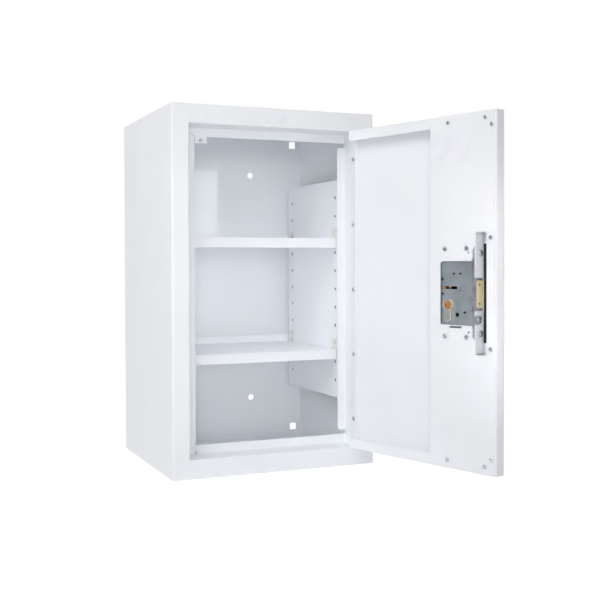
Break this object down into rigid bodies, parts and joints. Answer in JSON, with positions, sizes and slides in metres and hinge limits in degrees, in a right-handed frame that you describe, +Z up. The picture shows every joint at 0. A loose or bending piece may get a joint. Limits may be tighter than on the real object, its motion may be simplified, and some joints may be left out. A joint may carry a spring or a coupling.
{
  "type": "medicine cabinet",
  "caption": "Lockable steel medicine cabinet with an inset piano-hinged door, a mortice deadlock and lift-off shelves on clips between perforated liners.",
  "frame": {"origin": "centre of the base's underside", "axes": "+Z up, the door side faces -Y, +X towards the hinge side"},
  "size_m": [0.3848, 0.536, 0.55],
  "materials": {
    "painted_steel": "satin white powder coat",
    "zinc_steel": "bright zinc",
    "grey_steel": "dull grey",
    "satin_steel": "satin",
    "white_plastic": "matt",
    "label_film": "matt film",
    "black_rubber": "matt foam rubber",
    "nickel_brass": "nickel plated",
    "plain_brass": "satin",
    "dark_brass": "worn"
  },
  "bodies": {
    "cabinet": {"left_wall": "painted_steel", "right_wall": "painted_steel", "roof": "painted_steel", "base": "painted_steel", "back_panel": "painted_steel", "left_stile": "painted_steel", "right_stile": "painted_steel", "top_rail": "painted_steel", "bottom_rail": "painted_steel", "stop_strip": "painted_steel", "round_plug": "white_plastic", "oval_plug": "white_plastic", "left_liner": "painted_steel", "right_liner": "painted_steel", "upper_clips": "zinc_steel", "lower_clips": "zinc_steel", "hinge_frame_leaf": "painted_steel", "hinge_screws": "zinc_steel", "hinge_pin": "zinc_steel"},
    "upper_shelf": {"upper_shelf": "painted_steel"},
    "lower_shelf": {"lower_shelf": "painted_steel"},
    "door": {"hinge_door_leaf": "painted_steel", "door_skin": "painted_steel", "door_top_fold": "painted_steel", "door_bottom_fold": "painted_steel", "cover_plate": "painted_steel", "cover_screws": "zinc_steel", "label_plate": "label_film", "channel_strip": "black_rubber", "lock_bracket": "painted_steel", "bracket_screws": "zinc_steel", "bracket_rivets": "zinc_steel", "lock_case": "grey_steel", "case_lid": "grey_steel", "case_posts": "zinc_steel", "inner_forend": "satin_steel", "outer_forend": "satin_steel", "forend_screws": "zinc_steel", "cylinder_body": "nickel_brass", "cylinder_screw": "zinc_steel", "escutcheon": "satin_steel"},
    "bolt": {"deadbolt": "plain_brass", "bolt_pins": "dark_brass"},
    "key_turn": {"key_plugs": "plain_brass", "cam_spindle": "zinc_steel", "lock_cam": "plain_brass"}
  },
  "joints": [
    {"name": "door_swing", "type": "hinge", "parent": "cabinet", "child": "door", "pos_m": [0.1352, -0.1361, 0.275], "axis": [0, 0, 1], "range_deg": [-108.2, 60]},
    {"name": "bolt_throw", "type": "slide", "parent": "door", "child": "bolt", "axis": [0.3123, -0.95, 0], "range_m": [0, 0.02]},
    {"name": "key_rotation", "type": "hinge", "parent": "door", "child": "key_turn", "pos_m": [0.18541, -0.32244, 0.2576], "axis": [-0.95, -0.3123, 0], "range_deg": [0, 360]},
    {"name": "upper_shelf_lift", "type": "slide", "parent": "cabinet", "child": "upper_shelf", "axis": [0, 0, 1], "range_m": [0, 0.02]},
    {"name": "lower_shelf_lift", "type": "slide", "parent": "cabinet", "child": "lower_shelf", "axis": [0, 0, 1], "range_m": [0, 0.02]}
  ],
  "couplings": [
    {"joint": "key_rotation", "follows": "bolt_throw", "rad_per_m": 314.16}
  ]
}
